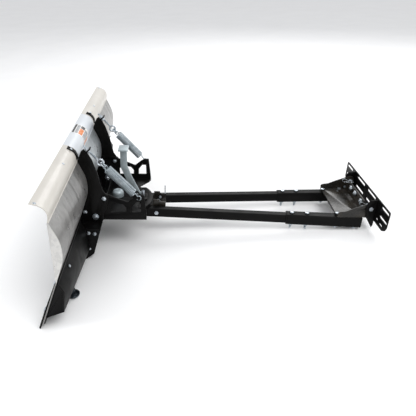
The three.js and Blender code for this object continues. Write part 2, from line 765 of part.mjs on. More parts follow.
function hitchPin(side) {
  const at = (y) => [HITCH.x, side * y, HITCH.z];
  const body = join(
    bar(at(107), at(EAR.outer + GAP), HITCH.pin),
    bar(at(EAR.outer + GAP), at(EAR.outer + 6), HITCH.pin * 1.5),
    bar(at(104), at(107), HITCH.pin * 0.7, 12, HITCH.pin),
  );
  return cut(body, bar([HITCH.x - 9, side * 115, HITCH.z], [HITCH.x + 9, side * 115, HITCH.z], 2.4, 8));
}

// The spring clip: one straight leg goes through the pin, and the other bends over it from a loop.
function hairpin(side) {
  const fromPin = ([x, z]) => new THREE.Vector3(HITCH.x + x, side * 115, HITCH.z + z);
  const leg = [[14, 0], [-10, 0], [-26, 0], [-38, 3]];
  const bow = [[-42, 11], [-34, 17], [-24, 12], [-13, 7], [0, 9.5], [9, 6]];
  const curve = new THREE.CatmullRomCurve3([...leg, ...bow].map(fromPin), false, "centripetal");
  const section = new THREE.Shape(vectors(circle([0, 0], 1.6, 5)));
  return solid(new THREE.ExtrudeGeometry(section, { steps: 22, extrudePath: curve, bevelEnabled: false }));
}

function mount() {
  place("mount_plate", mountPlate(), "black");
  SIDES.forEach(([end, side]) => {
    place(`mount_ear_${end}`, mountEar(side), "black");
    place(`hitch_pin_${end}`, hitchPin(side), "zinc");
    place(`hairpin_${end}`, hairpin(side), "zinc");
  });
}

blade();
cradle();
pushFrame();
mount();

// ---- Standing on the ground ----
// Tipped back until the wear bar and the rear bolts touch the same level, then moved over the origin.
const tilt = Math.atan(groundSlope);
const plow = new THREE.Group();
plow.rotation.y = tilt;
const foot = new THREE.Vector3(...inPlane(groundFront, 0));
foot.applyAxisAngle(new THREE.Vector3(0, 1, 0), tilt);
plow.position.set(-MIDDLE_X, 0, -foot.z);
plow.add(level);

export default plow;
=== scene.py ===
"""ATV plow blade: bevelled sheet metal, coil springs, bolts, paint and studio light on its frame."""

import json
import math

import bmesh
import bpy
from mathutils import Matrix, Vector


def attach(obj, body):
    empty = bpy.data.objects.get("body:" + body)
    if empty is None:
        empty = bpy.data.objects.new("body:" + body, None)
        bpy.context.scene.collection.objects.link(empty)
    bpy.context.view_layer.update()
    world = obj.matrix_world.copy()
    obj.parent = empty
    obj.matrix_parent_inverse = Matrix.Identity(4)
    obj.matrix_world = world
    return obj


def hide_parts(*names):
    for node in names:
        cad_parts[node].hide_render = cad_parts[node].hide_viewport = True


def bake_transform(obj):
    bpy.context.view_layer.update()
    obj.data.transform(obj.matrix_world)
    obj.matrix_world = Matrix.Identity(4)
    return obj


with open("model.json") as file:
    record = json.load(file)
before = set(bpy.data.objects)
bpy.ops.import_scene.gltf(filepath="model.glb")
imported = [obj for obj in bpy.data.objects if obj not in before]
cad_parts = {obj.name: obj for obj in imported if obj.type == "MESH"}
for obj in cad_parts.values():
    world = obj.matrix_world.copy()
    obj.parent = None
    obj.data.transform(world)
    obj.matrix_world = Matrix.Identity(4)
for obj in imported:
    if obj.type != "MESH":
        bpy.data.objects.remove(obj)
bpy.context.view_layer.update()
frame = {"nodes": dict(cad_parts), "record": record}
NODES = frame["nodes"]
BODIES = frame["record"]["behaviour"]["bodies"]
BODY_OF = {node: body for body, nodes in BODIES.items() for node in nodes}
SIDES = (("near", -1), ("far", 1))
EMPTY = ()

# ---- Driving dimensions, in millimetres in the level drawing frame of the part ----
TILT = 0.0640562
DRAWING = (
    Matrix.Translation((-0.48386, 0, 0.113209))
    @ Matrix.Rotation(TILT, 4, "Y")
    @ Matrix.Scale(0.001, 4)
)
HALF_WIDTH = 635
SHEET = 3
SEAM_Y = 182
BLADE_TOP = (-135, 349)
FLAP_PULL = (-72, 340)
CREASE = (-89, 285)
BELLY = ((-66, 232), (-59, 190), (-62, 150), (-75, 110), (-90, 66))
SLOPE_TOP = (-98, 45)
SLOPE_END = (-153, -106)
RIB_Y = 187
SIDE_Y = 180
PIVOT = (-38, 47)
STOP = (0, 131)
SPRING_HOOK = (135, 131)
SPRING_EYE = (-4, 282)
RIB_LUG = (-46, 330)
LEVER_PIVOT = (112, 57)
KINGPIN_X = 30
SHOE = (-88, 474)
ARM_Y = 48.1
ARM_SPLAY = 0.068
ARM_DROOP = 0.0085
ARM_LEVEL_AT = 200
TUBE_RISE = 19.5
SLEEVE_RISE = 24
NOSE_BOLT = (200, 3)
SLEEVE_BOLTS_X = (784, 850)
BRACKET_BOLTS_X = (980, 1062)
BOLT_END = -45
SLEEVE_BOLT_END = -57
WEB_TOP = 23.4
HITCH = (1108, 65)
PLATE_X = 1133.5
PLATE_THICK = 5
FRAME_BOLT = 5
PIVOT_BOLT = 6.5
LEVER_BOLT = 4
NUT_TO_RADIUS = 1.602
WASHER_TO_RADIUS = 1.95
GAP = 0.4


# ---- Materials ----
class Nodes:
    """A material's node tree with a principled shader, built one named link at a time."""

    def __init__(self, name):
        self.material = bpy.data.materials.new(name)
        self.material.use_nodes = True
        self.tree = self.material.node_tree
        self.shader = self.tree.nodes["Principled BSDF"]
        self.place = self.add("ShaderNodeTexCoord").outputs["Object"]

    def add(self, kind, **settings):
        node = self.tree.nodes.new(kind)
        for key, value in settings.items():
            setattr(node, key, value)
        return node

    def link(self, output, target):
        self.tree.links.new(output, target)

    def stretched(self, scale):
        mapping = self.add("ShaderNodeMapping")
        mapping.inputs["Scale"].default_value = scale
        self.link(self.place, mapping.inputs["Vector"])
        return mapping.outputs["Vector"]

    def noise(self, scale, detail=3.0, vector=None):
        node = self.add("ShaderNodeTexNoise")
        node.inputs["Scale"].default_value = scale
        node.inputs["Detail"].default_value = detail
        self.link(vector or self.place, node.inputs["Vector"])
        return node.outputs["Fac"]

    def ramp(self, value, *stops):
        node = self.add("ShaderNodeValToRGB")
        elements = node.color_ramp.elements
        while len(elements) < len(stops):
            elements.new(0.5)
        for element, (place, colour) in zip(elements, stops):
            element.position = place
            element.color = (*colour, 1) if len(colour) == 3 else (*colour * 3, 1)
        self.link(value, node.inputs["Fac"])
        return node.outputs["Color"]

    def mix(self, factor, first, second):
        node = self.add("ShaderNodeMix", data_type="RGBA")
        self.link(factor, node.inputs["Factor"])
        for socket, value in ((node.inputs[6], first), (node.inputs[7], second)):
            if isinstance(value, tuple):
                socket.default_value = (*value, 1)
            else:
                self.link(value, socket)
        return node.outputs[2]

    def bump(self, height, distance, strength=1.0, base=None):
        node = self.add("ShaderNodeBump")
        node.inputs["Distance"].default_value = distance
        node.inputs["Strength"].default_value = strength
        self.link(height, node.inputs["Height"])
        if base is not None:
            self.link(base, node.inputs["Normal"])
        return node.outputs["Normal"]

    def finish(self, colour, roughness, normal, **constants):
        inputs = self.shader.inputs
        self.link(colour, inputs["Base Color"])
        self.link(roughness, inputs["Roughness"])
        self.link(normal, inputs["Normal"])
        for name, value in constants.items():
            inputs[name.replace("_", " ")].default_value = value
        return self.material


def black_powder():
    n = Nodes("black powder coat")
    dust = n.ramp(n.noise(9, 6), (0.46, (0.0,)), (0.75, (0.22,)))
    grain = n.noise(850, 2)
    black = n.ramp(grain, (0.3, (0.0015, 0.0015, 0.0017)), (0.7, (0.0042, 0.0040, 0.0038)))
    colour = n.mix(dust, black, (0.0085, 0.0075, 0.0062))
    roughness = n.ramp(n.noise(22, 5), (0.35, (0.34,)), (0.7, (0.50,)))
    peel = n.bump(n.noise(620, 2), 0.00010, 0.5)
    return n.finish(colour, roughness, peel, Metallic=0.0, Specular_IOR_Level=0.08, Coat_Weight=0.02,
                    Coat_Roughness=0.2)


def black_with_painted_reflection():
    """The glossier black of the folded brackets, with a painted brown reflection mixed into its colour
    in patches.
    """
    n = Nodes("black paint with painted reflection")
    # painted reflection: noise patches mix a brown reflection into the black colour
    painted_reflection = n.ramp(n.noise(14, 5), (0.38, (0.0,)), (0.72, (0.6,)))
    black = n.ramp(n.noise(700, 2), (0.3, (0.006, 0.0055, 0.005)), (0.7, (0.013, 0.012, 0.010)))
    colour = n.mix(painted_reflection, black, (0.034, 0.027, 0.018))
    roughness = n.ramp(n.noise(26, 4), (0.35, (0.20,)), (0.7, (0.36,)))
    peel = n.bump(n.noise(520, 2), 0.00010, 0.5)
    return n.finish(colour, roughness, peel, Metallic=0.0, Specular_IOR_Level=0.30, Coat_Weight=0.12,
                    Coat_Roughness=0.16)


def zinc(name, light, dark, roughness_range, metallic):
    n = Nodes(name)
    cloud = n.ramp(n.noise(60, 6), (0.32, dark), (0.68, light))
    speck = n.ramp(n.noise(700, 2), (0.35, (0.0,)), (0.72, (0.35,)))
    colour = n.mix(speck, cloud, dark)
    roughness = n.ramp(n.noise(110, 4), (0.3, (roughness_range[0],)), (0.7, (roughness_range[1],)))
    normal = n.bump(n.noise(420, 3), 0.00008, 0.5)
    return n.finish(colour, roughness, normal, Metallic=metallic)


def galvanised(name, light, dark, buckle, metallic):
    """Rolled sheet: faint zinc spangle, and long upright buckles that bend its reflections."""
    n = Nodes(name)
    spangle = n.add("ShaderNodeTexVoronoi")
    spangle.inputs["Scale"].default_value = 120
    n.link(n.stretched((1.0, 1.0, 0.7)), spangle.inputs["Vector"])
    cell = n.add("ShaderNodeSeparateColor")
    n.link(spangle.outputs["Color"], cell.inputs["Color"])
    flake = n.ramp(cell.outputs[0], (0.2, dark), (0.85, light))
    stain = n.ramp(n.noise(1.0, 3, n.stretched((7, 7, 2.2))), (0.46, (0.0,)), (0.80, (0.14,)))
    colour = n.mix(stain, flake, dark)
    roughness = n.ramp(n.noise(35, 4), (0.3, (0.26,)), (0.7, (0.42,)))
    waves = n.noise(1.0, 2, n.stretched((1.2, 15, 1.6)))
    wide = n.bump(waves, buckle, 1.0)
    fine = n.bump(n.noise(500, 2), 0.00004, 0.5, wide)
    return n.finish(colour, roughness, fine, Metallic=metallic)


def enamel(name, light, dark, roughness_range):
    n = Nodes(name)
    tone = n.ramp(n.noise(5, 6), (0.3, dark), (0.7, light))
    rub = n.ramp(n.noise(1.0, 5, n.stretched((60, 5, 60))), (0.60, (0.0,)), (0.80, (0.22,)))
    colour = n.mix(rub, tone, tuple(channel * 0.72 for channel in dark))
    roughness = n.ramp(n.noise(30, 4), (0.3, (roughness_range[0],)), (0.7, (roughness_range[1],)))
    waves = n.bump(n.noise(1.0, 2, n.stretched((2, 11, 3))), 0.0011, 0.8)
    peel = n.bump(n.noise(480, 2), 0.00005, 0.5, waves)
    return n.finish(colour, roughness, peel, Metallic=0.0, Coat_Weight=0.25, Coat_Roughness=0.15)


def printed(name, ink, paper):
    """Vinyl with a fine printed dot screen and no lettering."""
    n = Nodes(name)
    screen = n.ramp(n.noise(900, 1), (0.40, ink), (0.62, paper))
    roughness = n.ramp(n.noise(60, 3), (0.3, (0.22,)), (0.7, (0.38,)))
    return n.finish(screen, roughness, n.bump(n.noise(300, 2), 0.00003, 0.4), Metallic=0.0)


def studio_floor():
    n = Nodes("pale floor")
    colour = n.ramp(n.noise(2.5, 5), (0.3, (0.93, 0.93, 0.93)), (0.7, (0.96, 0.96, 0.96)))
    roughness = n.ramp(n.noise(8, 3), (0.3, (0.75,)), (0.7, (0.9,)))
    return n.finish(colour, roughness, n.bump(n.noise(160, 3), 0.0002, 0.2), Metallic=0.0)


BLACK = black_powder()
BLACK_PAINTED_REFLECTION = black_with_painted_reflection()
ZINC = zinc("bright zinc", (0.60, 0.64, 0.67), (0.34, 0.38, 0.42), (0.22, 0.38), 0.9)
SATIN = zinc("satin zinc", (0.43, 0.49, 0.51), (0.32, 0.37, 0.39), (0.36, 0.50), 0.45)
SPRING = zinc("spring wire zinc", (0.50, 0.55, 0.58), (0.30, 0.35, 0.38), (0.28, 0.42), 0.8)
SHOE_ZINC = zinc("dark zinc", (0.060, 0.075, 0.085), (0.020, 0.026, 0.032), (0.25, 0.42), 0.7)
# painted shade: the end sheets below the crease get a darker galvanised colour, for the shade on the
# sheet that faces away from the light
SHADED_GALVANISED = galvanised(
    "galvanised moldboard with painted shade", (0.318, 0.313, 0.304), (0.285, 0.280, 0.272), 0.0105, 0.66
)
GALVANISED_CENTRE = galvanised(
    "galvanised centre sheet", (0.455, 0.485, 0.50), (0.415, 0.445, 0.46), 0.0070, 0.60
)
END_STEEL = galvanised("galvanised end plate", (0.60, 0.59, 0.57), (0.52, 0.515, 0.50), 0.0010, 0.7)
CREAM = enamel("cream flap paint", (0.56, 0.537, 0.492), (0.485, 0.462, 0.422), (0.36, 0.52))
COOL = enamel("cool white flap paint", (0.59, 0.62, 0.645), (0.50, 0.53, 0.565), (0.30, 0.46))
STICKER_DARK = printed("sticker frame", (0.020, 0.020, 0.022), (0.040, 0.040, 0.042))
STICKER_WHITE = printed("sticker white", (0.80, 0.80, 0.78), (0.62, 0.62, 0.60))
STICKER_ORANGE = printed("sticker orange", (0.72, 0.22, 0.055), (0.60, 0.17, 0.045))
STICKER_GREY = printed("sticker grey", (0.26, 0.27, 0.28), (0.38, 0.39, 0.40))
STICKER_ROSE = printed("sticker rose", (0.70, 0.34, 0.24), (0.66, 0.42, 0.33))


# ---- Mesh helpers ----
def piece(name, mesh, materials, body, replaced=EMPTY, smooth=35):
    """Shows a mesh that is already in the row frame, riding on its body."""
    for material in materials if isinstance(materials, tuple) else (materials,):
        mesh.materials.append(material)
    mesh.polygons.foreach_set("use_smooth", [True] * len(mesh.polygons))
    mesh.set_sharp_from_angle(angle=math.radians(smooth))
    shown = bpy.data.objects.new(name, mesh)
    bpy.context.scene.collection.objects.link(shown)
    if body:
        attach(shown, body)
    if replaced:
        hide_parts(*replaced)
    return shown


def build(name, points, faces, turn=Matrix()):
    """A mesh from points in millimetres of the drawing frame, with its faces turned outwards."""
    mesh = bpy.data.meshes.new(name)
    mesh.from_pydata([tuple(point) for point in points], [], faces)
    mesh.transform(DRAWING @ turn)
    tidy = bmesh.new()
    tidy.from_mesh(mesh)
    bmesh.ops.recalc_face_normals(tidy, faces=tidy.faces)
    tidy.to_mesh(mesh)
    tidy.free()
    return mesh


def from_object(made):
    """The mesh that an object's modifiers or curve make, with the object itself taken away."""
    bpy.context.scene.collection.objects.link(made)
    bpy.context.view_layer.update()
    mesh = bpy.data.meshes.new_from_object(made.evaluated_get(bpy.context.evaluated_depsgraph_get()))
    mesh.transform(made.matrix_world)
    bpy.data.objects.remove(made)
    return mesh


def softened(node, width_mm, material):
    """The CAD node again with its bends and cut edges rounded over."""
    mesh = NODES[node].data.copy()
    mesh.materials.clear()
    shape = bmesh.new()
    shape.from_mesh(mesh)
    bmesh.ops.remove_doubles(shape, verts=shape.verts, dist=2e-6)
    bmesh.ops.dissolve_limit(
        shape, angle_limit=math.radians(0.8), verts=shape.verts, edges=shape.edges
    )
    shape.to_mesh(mesh)
    shape.free()
    rough = bpy.data.objects.new(node + "_rough", mesh)
    rounding = rough.modifiers.new("rounding", "BEVEL")
    rounding.width = width_mm / 1000
    rounding.segments = 2
    rounding.limit_method = "ANGLE"
    rounding.angle_limit = math.radians(34)
    rounding.use_clamp_overlap = False
    return piece(node + "_sheet", from_object(rough), material, BODY_OF[node], (node,), smooth=32)


def turned(rings, segments=32):
    """A closed body round +Z. A ring is (height, radius), or a function that gives both at an angle."""
    points = []
    for ring in rings:
        for i in range(segments):
            angle = 2 * math.pi * i / segments
            height, radius = ring(angle) if callable(ring) else ring
            points.append((radius * math.cos(angle), radius * math.sin(angle), height))
    faces = [tuple(range(segments)), tuple(range(len(points) - segments, len(points)))]
    for start in range(0, len(points) - segments, segments):
        for i in range(segments):
            j = (i + 1) % segments
            faces.append((start + i, start + j, start + segments + j, start + segments + i))
    return points, faces


def joined(*bodies):
    points, faces = [], []
    for body_points, body_faces in bodies:
        shift = len(points)
        points += body_points
        faces += [tuple(i + shift for i in face) for face in body_faces]
    return points, faces


def along(start, end):
    """The placement that stands +Z on the way from one point to another."""
    way = Vector(end) - Vector(start)
    return Matrix.Translation(start) @ way.to_track_quat("Z", "Y").to_matrix().to_4x4()


def hex_rings(flat, low, high, chamfer_low, chamfer_high):
    """Rings of a hexagon of half-width `flat`, with its corners turned down to a cone at either end."""
    def corner(angle):
        return flat / math.cos((angle % (math.pi / 3)) - math.pi / 6)

    def level(end, inward, chamfered):
        drop = 0.5 if chamfered else 0.0
        return lambda angle: (end + inward * drop * (corner(angle) - flat * 0.96), corner(angle))

    rings = [level(low, 1, chamfer_low), level(high, -1, chamfer_high)]
    if chamfer_low:
        rings.insert(0, (low, flat * 0.96))
    if chamfer_high:
        rings.append((high, flat * 0.96))
    return rings


def threaded(radius, low, high, pitch=1.5):
    rings = [(low, radius * 0.86)]
    for i in range(max(1, int((high - low) / pitch) - 1)):
        rings += [(low + pitch * (i + 0.5), radius), (low + pitch * (i + 1), radius * 0.86)]
    return [*rings, (high, radius * 0.72)]


def washer(radius, low, high):
    soft = 0.3
    rings = [(low, radius - soft), (low + soft, radius), (high - soft, radius), (high, radius - soft)]
    return turned(rings, 36)


def fastener(name, metal, washers, place, body, node, washer_finish):
    """Bright turned shapes and their washers as one piece of two finishes."""
    points, faces = joined(*metal, *washers)
    mesh = build(name, points, faces, place)
    bright = sum(len(shape_faces) for _, shape_faces in metal)
    for i, face in enumerate(mesh.polygons):
        face.material_index = 0 if i < bright else 1
    return piece(name, mesh, (ZINC, washer_finish), body, (node,) if node else EMPTY)


def bolt(name, start, end, radius, tail, body, node, turn=Matrix(), washer_finish=BLACK):
    """A hexagon bolt: head on `start`, nut on `end`, thread running on by `tail`, with both washers."""
    span = (Vector(end) - Vector(start)).length
    flat = radius * NUT_TO_RADIUS
    metal = [
        turned(hex_rings(flat, -radius * 1.3, -1.8, True, False), 48),
        turned([(-0.5, radius * 0.98), (span + 0.5, radius * 0.98)], 20),
        turned(hex_rings(flat, span + 1.8, span + 1.8 + radius * 1.6, True, True), 48),
        turned(threaded(radius, span + 1.8 + radius * 1.5, span + tail), 20),
    ]
    disc = radius * WASHER_TO_RADIUS
    washers = [washer(disc, -2, -GAP), washer(disc, span + GAP, span + 2)]
    return fastener(name, metal, washers, turn @ along(start, end), body, node, washer_finish)


def small_bolt(name, foot, normal, radius, body, round_head=False):
    """A hexagon head with its washer, or a plain round head, standing on a face."""
    flat = radius * 1.6
    if round_head:
        dome = [(0, flat * 1.25)] + [
            (flat * 0.62 * math.sin(a), flat * 1.25 * math.cos(a)) for a in (0.3, 0.6, 0.9, 1.2, 1.45)
        ]
        metal, washers = [turned(dome, 32)], []
    else:
        metal = [
            turned(hex_rings(flat, 1.1, 1.1 + radius * 1.3, False, True), 48),
            turned(threaded(radius, 1 + radius * 1.2, 1.1 + radius * 1.9), 20),
        ]
        washers = [washer(radius * 2.1, 0, 1.2)]
    place = along(foot, Vector(foot) + Vector(normal))
    return fastener(name, metal, washers, place, body, None, BLACK)


def wire_mesh(name, points, radius, cyclic=False, ripple=None, sides=4):
    """A round wire through points in millimetres of the drawing frame."""
    curve = bpy.data.curves.new(name, "CURVE")
    curve.dimensions = "3D"
    curve.bevel_depth = radius
    curve.bevel_resolution = sides
    curve.use_fill_caps = True
    spline = curve.splines.new("POLY")
    spline.points.add(len(points) - 1)
    for i, (knot, point) in enumerate(zip(spline.points, points)):
        knot.co = (*point, 1)
        knot.radius = ripple(i) if ripple else 1.0
    spline.use_cyclic_u = cyclic
    mesh = from_object(bpy.data.objects.new(name, curve))
    mesh.transform(DRAWING)
    return mesh


def weld(name, start, end, radius, body):
    """A rippled bead painted over with the frame."""
    a, b = Vector(start), Vector(end)
    count = max(6, int((b - a).length / 1.3))
    path = [a.lerp(b, i / count) for i in range(count + 1)]
    mesh = wire_mesh(name, path, radius, ripple=lambda i: 0.86 + 0.14 * math.cos(i * 2.1), sides=2)
    return piece(name, mesh, BLACK, body, smooth=60)


def plate_mesh(name, rings, thickness, place):
    """A flat plate from an outline and its holes, with rounded edges, laid by its placement matrix."""
    edge = 0.5
    curve = bpy.data.curves.new(name, "CURVE")
    curve.dimensions = "2D"
    curve.fill_mode = "BOTH"
    for ring in rings:
        spline = curve.splines.new("POLY")
        spline.points.add(len(ring) - 1)
        for knot, (u, v) in zip(spline.points, ring):
            knot.co = (u, v, 0, 1)
        spline.use_cyclic_u = True
    curve.extrude = thickness / 2 - edge
    curve.bevel_depth = edge
    curve.bevel_resolution = 1
    curve.offset = -edge
    mesh = from_object(bpy.data.objects.new(name, curve))
    mesh.transform(DRAWING @ place)
    return mesh


def arc(centre, radius, from_deg, to_deg, steps):
    return [
        (
            centre[0] + radius * math.cos(math.radians(from_deg + (to_deg - from_deg) * i / steps)),
            centre[1] + radius * math.sin(math.radians(from_deg + (to_deg - from_deg) * i / steps)),
        )
        for i in range(steps + 1)
    ]


def level_slot(centre, reach, half):
    u, v = centre
    return arc((u + reach, v), half, 90, -90, 14) + arc((u - reach, v), half, -90, -270, 14)


def filleted(points, radius, steps=5):
    """An open run of points with each inner corner rounded."""
    run = [Vector(points[0])]
    for before, corner, after in zip(points, points[1:], points[2:]):
        corner, before, after = Vector(corner), Vector(before), Vector(after)
        back, ahead = (before - corner), (after - corner)
        reach = min(radius, back.length * 0.45, ahead.length * 0.45)
        first, last = corner + back.normalized() * reach, corner + ahead.normalized() * reach
        for i in range(steps + 1):
            t = i / steps
            run.append(first * (1 - t) ** 2 + corner * 2 * t * (1 - t) + last * t * t)
    return [*run, Vector(points[-1])]


def pushed(points, distance):
    """The same run moved sideways, to the left of the way that it runs."""
    points = [Vector(point) for point in points]
    headings = [(b - a).normalized() for a, b in zip(points, points[1:])]
    moved = []
    for i, point in enumerate(points):
        before, after = headings[max(i - 1, 0)], headings[min(i, len(headings) - 1)]
        normal = Vector((-before.y - after.y, before.x + after.x)).normalized()
        moved.append(point + normal * distance / max(normal.dot(Vector((-after.y, after.x))), 0.6))
    return moved


def in_plane(point, y):
    return (point[0], y, point[1])


def spline(knots, steps):
    """A Catmull-Rom curve through the knots, as many steps between each two."""
    def between(a, b, c, d, t):
        bend = (2 * a - 5 * b + 4 * c - d) * t**2
        twist = (3 * b - a - 3 * c + d) * t**3
        return 0.5 * (2 * b + (c - a) * t + bend + twist)

    padded = [knots[0], *knots, knots[-1]]
    curve = []
    for quad in zip(padded, padded[1:], padded[2:], padded[3:]):
        for i in range(steps):
            curve.append(tuple(between(*values, i / steps) for values in zip(*quad)))
    return [*curve, tuple(knots[-1])]


# ---- Blade ----
def flap_curve(steps):
    """A quadratic curve from the blade's top edge to the crease, drawn towards the flap's roll."""
    def at(t):
        shares = ((1 - t) ** 2, 2 * t * (1 - t), t * t)
        corners = (BLADE_TOP, FLAP_PULL, CREASE)
        return tuple(sum(share * spot[axis] for share, spot in zip(shares, corners)) for axis in (0, 1))
    return [at(i / steps) for i in range(steps + 1)]


def moldboard():
    """The rolled sheets: painted along the flap above the crease, bare galvanised steel below it, the
    end sheets' steel colour darkened as painted shade.
    """
    flap = flap_curve(20)
    belly = spline([CREASE, *BELLY, SLOPE_TOP], 9)[1:]
    back = [Vector(point) for point in [*flap, *belly, SLOPE_END]]
    front = pushed(back, -SHEET)
    ring = [*back, *reversed(front)]
    painted = len(flap) - 1
    spans = {
        "center": (-SEAM_Y, SEAM_Y),
        "near": (-HALF_WIDTH + SHEET + 0.4, -SEAM_Y - 0.4),
        "far": (SEAM_Y + 0.4, HALF_WIDTH - SHEET - 0.4),
    }
    for end, (y0, y1) in spans.items():
        points = [in_plane(point, y) for y in (y0, y1) for point in ring]
        count = len(ring)
        faces = [(i, (i + 1) % count, (i + 1) % count + count, i + count) for i in range(count)]
        faces += [
            (i, i + 1, count - 2 - i, count - 1 - i) for i in range(len(back) - 1)
        ]
        faces += [tuple(corner + count for corner in face) for face in faces[count:]]
        mesh = build(f"moldboard_{end}", points, faces)
        for i, face in enumerate(mesh.polygons):
            step = i if i < count else (i - count) % (len(back) - 1)
            step = min(step, count - 2 - step)
            face.material_index = 0 if step < painted else 1
        # the end sheets below the crease take the darkened colour, which is painted shade
        finish = (COOL, GALVANISED_CENTRE) if end == "center" else (CREAM, SHADED_GALVANISED)
        node = f"moldboard_{end}"
        piece(node + "_sheet", mesh, finish, "blade", (node,), smooth=30)


def crease_lap():
    """The folded lap that the flap's paint ends on."""
    for end, y0, y1 in (("near", -631, -183), ("center", -181, 181), ("far", 183, 631)):
        spot = Vector(CREASE) + Vector((0.6, 0))
        path = [(spot.x, y0 + (y1 - y0) * i / 24, spot.y) for i in range(25)]
        mesh = wire_mesh(f"crease_lap_{end}", path, 1.5, sides=3)
        paint = COOL if end == "center" else CREAM
        piece(f"crease_lap_{end}", mesh, paint, "blade")


def on_slope(down, back):
    way = (Vector(SLOPE_END) - Vector(SLOPE_TOP)).normalized()
    return Vector(SLOPE_TOP) + way * down + Vector((-way.y, way.x)) * back


def flap_spot(t):
    """A point on the rolled flap with the way that its face looks there."""
    run = flap_curve(50)
    step = round(t * 50)
    way = Vector(run[step + 1]) - Vector(run[step - 1])
    return run[step], Vector((-way.y, 0, way.x)).normalized()


def blade_hardware():
    """Carriage bolts of the wear bar, bolts of the ribs, feet and channels, and rivets of the flap."""
    way = on_slope(1, 0) - on_slope(0, 0)
    forward = (way.y, 0, -way.x)
    rearward = (-way.y, 0, way.x)
    for i, y in enumerate((-585, -445, -305, -220, -70, 70, 220, 305, 445, 585)):
        spot = on_slope(140, -SHEET - 0.4 - 6)
        small_bolt(f"carriage_head_{i + 1}", in_plane(spot, y), forward, 5, "blade", round_head=True)
        if abs(y) > 260 or abs(y) < 150:
            rear = on_slope(143, 5)
            small_bolt(f"carriage_nut_{i + 1}", in_plane(rear, y), rearward, 4.4, "blade")
    for end, side in SIDES:
        small_bolt(f"rib_bolt_{end}", (-77, side * 190, 70), (0, side, 0), 4.5, "blade")
        small_bolt(f"foot_bolt_{end}_1", (-59, side * 250, 9), (0, side, 0), 4.2, "blade")
        small_bolt(f"foot_bolt_{end}_2", (-36, side * 250, 6), (0, side, 0), 4.2, "blade")
        rivet = (-62, side * 250, -68)
        small_bolt(f"foot_rivet_{end}", rivet, (0, side, 0), 3.0, "blade", round_head=True)
        small_bolt(f"channel_bolt_{end}", (-78.5, side * 515, 44.5), (0.89, 0, 0.45), 3.0, "blade")
        for i, (t, y) in enumerate(((0.31, 212), (0.32, 331), (0.12, 624))):
            foot, normal = flap_spot(t)
            lift = 4.4 if i == 0 else 0
            head = Vector(in_plane(foot, side * y)) + Vector(normal) * lift
            small_bolt(f"flap_rivet_{end}_{i + 1}", head, normal, 2.6, "blade", round_head=i > 0)


def eye_bolts():
    lug, eye = Vector(RIB_LUG), Vector(SPRING_EYE)
    way = (eye - lug).normalized()
    reach = (eye - lug).length
    for end, side in SIDES:
        y = side * RIB_Y
        start = in_plane(lug - way * 24, y)
        place = along(start, in_plane(eye, y))
        rod, rod_faces = turned(threaded(4, 0, 24 + reach - 15, 1.25), 20)
        nuts = joined(
            turned(hex_rings(6.9, 14, 21.1, True, True), 48),
            turned(hex_rings(6.9, 26.9, 34, True, True), 48),
            washer(9, 20.8, 22),
            washer(9, 26, 27.2),
        )
        rod_mesh = build(f"eye_rod_{end}", *joined((rod, rod_faces), nuts), place)
        heading = math.degrees(math.atan2(-way.y, -way.x))
        loop = [
            *[tuple(lug + way * (reach - 24 + i * 2)) for i in range(4)],
            *arc(tuple(eye), 12, heading, heading + 335, 40),
        ]
        ring_mesh = wire_mesh(f"eye_ring_{end}", [in_plane(p, y) for p in filleted(loop, 5, 3)], 3.9)
        piece(f"eye_bolt_{end}_rod", rod_mesh, ZINC, "blade", (f"eye_bolt_{end}",))
        piece(f"eye_bolt_{end}_ring", ring_mesh, ZINC, "blade")


def ground_at(x):
    """The height of the ground under a place of the level drawing."""
    return x * math.tan(TILT) - 113.209 / math.cos(TILT)


def skid_shoes():
    base = ground_at(SHOE[0] + 19)
    for end, side in SIDES:
        profile = [
            (0, 1), (0, 16), (0.6, 18), (3, 21.5), (7, 24), (10.4, 24), (11, 23.4), (11, 20.4),
            (8, 16), (6.2, 13.6), (8, 8), (22, 8), (22, 5.9),
        ]
        stem = threaded(6, 22, 87.6, 1.75)
        place = Matrix.Translation((SHOE[0], side * SHOE[1], base + 0.3))
        nut = turned(hex_rings(8.5, 22.4, 31.4, True, True), 48)
        mesh = build(f"skid_{end}", *joined(turned([*profile, *stem], 40), nut), place)
        piece(f"skid_shoe_{end}_turned", mesh, SHOE_ZINC, f"skid_shoe_{end}", (f"skid_shoe_{end}",))


def flap_patch(name, y0, y1, t0, t1, material, lift=0.35):
    """A thin vinyl patch that follows the rolled flap."""
    steps = 14
    full = flap_curve(80)
    run = [full[round((t0 + (t1 - t0) * i / steps) * 80)] for i in range(steps + 1)]
    outer = pushed(run, lift)
    points = [in_plane(point, y) for y in (y0, y1) for point in [*outer, *reversed(run)]]
    count = 2 * len(run)
    faces = [(i, (i + 1) % count, (i + 1) % count + count, i + count) for i in range(count)]
    faces += [(i, i + 1, count - 2 - i, count - 1 - i) for i in range(steps)]
    faces += [tuple(corner + count for corner in face) for face in faces[count:]]
    piece(name, build(name, points, faces), material, "blade")


def sticker():
    """The label on the middle of the flap, as plain printed patches without words or marks."""
    flap_patch("label_frame", -48, 48, 0.02, 0.97, STICKER_WHITE, 0.25)
    flap_patch("label_head", -46, 46, 0.04, 0.10, STICKER_DARK)
    flap_patch("label_panel", -44, 44, 0.12, 0.24, STICKER_GREY)
    flap_patch("label_orange", -42, 14, 0.26, 0.46, STICKER_ORANGE)
    flap_patch("label_corner", 18, 44, 0.26, 0.46, STICKER_DARK)
    flap_patch("label_grey", -44, 34, 0.50, 0.74, STICKER_GREY)
    flap_patch("label_rose", -46, 20, 0.78, 0.94, STICKER_ROSE)


